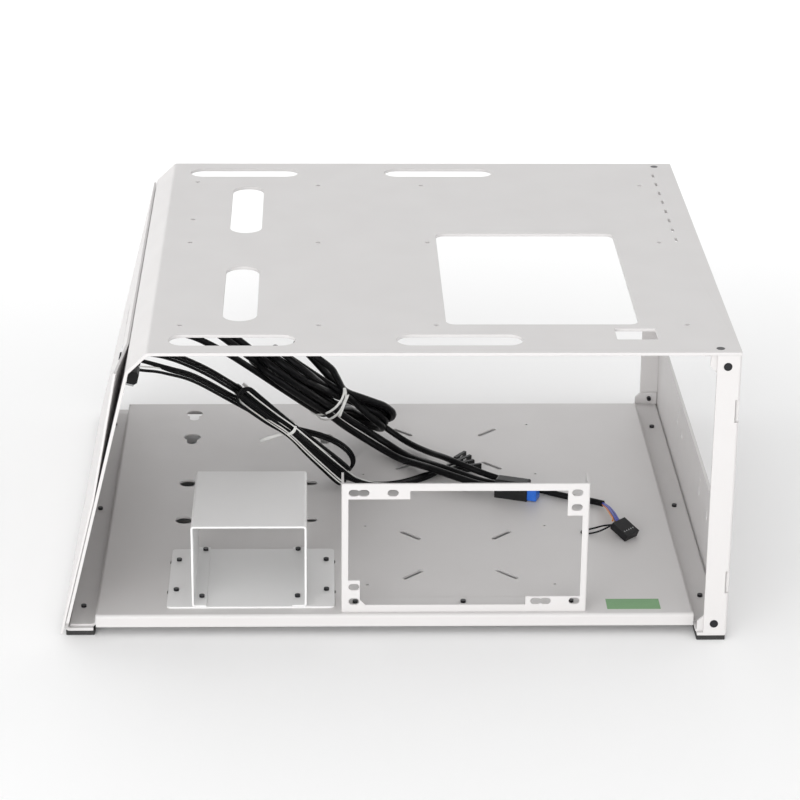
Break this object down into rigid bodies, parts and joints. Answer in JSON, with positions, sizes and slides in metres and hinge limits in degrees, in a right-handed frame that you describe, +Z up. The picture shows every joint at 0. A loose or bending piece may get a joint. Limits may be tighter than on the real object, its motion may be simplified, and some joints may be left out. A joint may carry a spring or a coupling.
{
  "type": "open air test bench",
  "caption": "Open white sheet-metal computer test bench with a motherboard plate, slanted port side, drive cage, power supply frame and bundled front-panel cables.",
  "frame": {"origin": "centre of the bench's footprint, on the surface that the feet stand on", "axes": "+X towards the side frame with the two posts, +Y from the open front to the back, +Z up"},
  "size_m": [0.4156, 0.382, 0.1925],
  "materials": {
    "white_coat": "satin powder coat",
    "white_cage": "satin powder coat",
    "grey_bracket": "plain folded sheet",
    "black_screw": "black oxide",
    "black_rubber": "matt",
    "button_cap": "gloss",
    "light_lens": "clear milky",
    "green_label": "printed film, bare",
    "white_tie": "soft",
    "blue_plastic": "satin",
    "wire_coat": "satin",
    "black_plastic": "satin",
    "cord_coat": "satin"
  },
  "bodies": {
    "bench": {"audio_cable": "cord_coat", "audio_jacks": "black_plastic", "audio_jumper": "cord_coat", "audio_plug": "black_plastic", "audio_tail": "cord_coat", "audio_wires": "wire_coat", "back_post_screws": "black_screw", "base_screws": "black_screw", "base_tray": "white_coat", "cage_bushes": "black_rubber", "cage_plate_screws": "black_screw", "cord_hank": "cord_coat", "cord_hank_tie": "white_tie", "drive_cage": "white_cage", "drive_cage_base": "white_cage", "drive_cage_screws": "black_screw", "floor_label": "green_label", "foot_left_back": "black_rubber", "foot_left_front": "black_rubber", "foot_right_back": "black_rubber", "foot_right_front": "black_rubber", "front_cover": "white_coat", "front_post_screws": "black_screw", "lead_hank": "cord_coat", "lead_hank_tie": "white_tie", "lead_loop": "cord_coat", "lead_plugs": "black_plastic", "lead_tail": "cord_coat", "light_leads": "cord_coat", "motherboard_tray": "white_coat", "port_bracket": "grey_bracket", "port_bracket_screws": "black_screw", "power_switch": "black_plastic", "reset_lead": "cord_coat", "reset_switch": "black_plastic", "right_side_frame": "white_coat", "status_lights": "light_lens", "supply_frame": "white_coat", "supply_frame_screws": "black_screw", "switch_leads": "cord_coat", "top_screws": "black_screw", "usb_cable_a": "cord_coat", "usb_cable_b": "cord_coat", "usb_plug": "black_plastic", "usb_plug_insert": "blue_plastic", "usb_ports": "black_plastic", "usb_tail_a": "cord_coat", "usb_tail_b": "cord_coat"},
    "power_button": {"power_button": "button_cap"},
    "reset_button": {"reset_button": "button_cap"}
  },
  "joints": [
    {"name": "power_press", "type": "slide", "parent": "bench", "child": "power_button", "axis": [0.9711, 0, -0.2385], "range_m": [0, 0.0012], "stiffness_N_per_m": 600, "springref_m": -0.0008},
    {"name": "reset_press", "type": "slide", "parent": "bench", "child": "reset_button", "axis": [0.9711, 0, -0.2385], "range_m": [0, 0.0012], "stiffness_N_per_m": 600, "springref_m": -0.0008}
  ]
}
